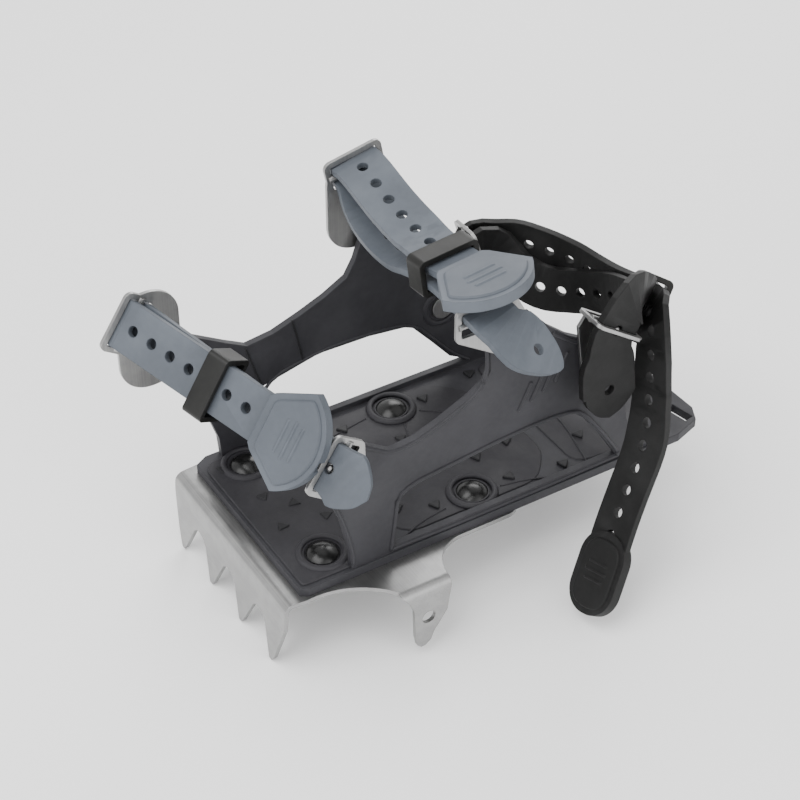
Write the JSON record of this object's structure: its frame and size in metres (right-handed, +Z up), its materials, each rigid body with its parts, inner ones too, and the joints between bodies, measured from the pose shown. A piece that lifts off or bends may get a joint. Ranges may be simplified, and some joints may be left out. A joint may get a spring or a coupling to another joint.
{
  "type": "snowshoe binding crampon",
  "caption": "Left-foot snowshoe binding crampon: toothed steel claw plate under a moulded rubber harness with buckled toe, instep and heel straps.",
  "frame": {"origin": "centre of the outer box at floor level, under the tooth tips", "axes": "toe towards -Y, heel towards +Y, the wearer's left side towards +X, +Z up"},
  "size_m": [0.159, 0.229, 0.1618],
  "materials": {
    "steel": "brushed",
    "harness_rubber": "satin, finely textured",
    "strap_rubber": "satin",
    "black_rubber": "satin",
    "keeper_rubber": "satin",
    "black_rivet": "gloss",
    "washer_rubber": "satin"
  },
  "bodies": {
    "base": {"harness": "harness_rubber", "crampon_plate": "steel", "footbed_rivets": "black_rivet", "footbed_washers": "washer_rubber", "buckle_rivets": "steel", "buckle_washers": "steel"},
    "toe_strap_set": {"toe_strap": "strap_rubber", "toe_buckle_left": "steel", "toe_buckle_right": "steel", "toe_bar_left": "steel", "toe_bar_right": "steel"},
    "instep_strap_set": {"instep_strap": "strap_rubber", "instep_buckle_left": "steel", "instep_buckle_right": "steel", "instep_bar_left": "steel", "instep_bar_right": "steel"},
    "heel_strap_set": {"heel_strap": "black_rubber", "heel_buckle_left": "steel", "heel_buckle_right": "steel", "heel_bar_left": "steel", "heel_bar_right": "steel"},
    "toe_keeper_loop": {"toe_keeper": "keeper_rubber"},
    "instep_keeper_loop": {"instep_keeper": "keeper_rubber"},
    "heel_keeper_loop": {"heel_keeper": "keeper_rubber"}
  },
  "joints": [
    {"name": "toe_strap_swing", "type": "hinge", "parent": "base", "child": "toe_strap_set", "pos_m": [0.03067, -0.06003, 0.0825], "axis": [0.9485, 0.2833, -0.1416], "range_deg": [-3, 3]},
    {"name": "instep_strap_swing", "type": "hinge", "parent": "base", "child": "instep_strap_set", "pos_m": [0.03067, 0.01497, 0.12], "axis": [0.9854, 0.1308, -0.109], "range_deg": [-4, 4]},
    {"name": "heel_strap_swing", "type": "hinge", "parent": "base", "child": "heel_strap_set", "pos_m": [0.03067, 0.05297, 0.088], "axis": [0.9734, 0.1723, 0.1508], "range_deg": [-3, 3]},
    {"name": "toe_keeper_slide", "type": "slide", "parent": "toe_strap_set", "child": "toe_keeper_loop", "axis": [0.9304, 0.3266, -0.1662], "range_m": [-0.003, 0.003]},
    {"name": "instep_keeper_slide", "type": "slide", "parent": "instep_strap_set", "child": "instep_keeper_loop", "axis": [0.9954, 0.0328, 0.0895], "range_m": [-0.002, 0.002]},
    {"name": "heel_keeper_slide", "type": "slide", "parent": "heel_strap_set", "child": "heel_keeper_loop", "axis": [0.7153, -0.4297, 0.5511], "range_m": [-0.001, 0.001]}
  ]
}
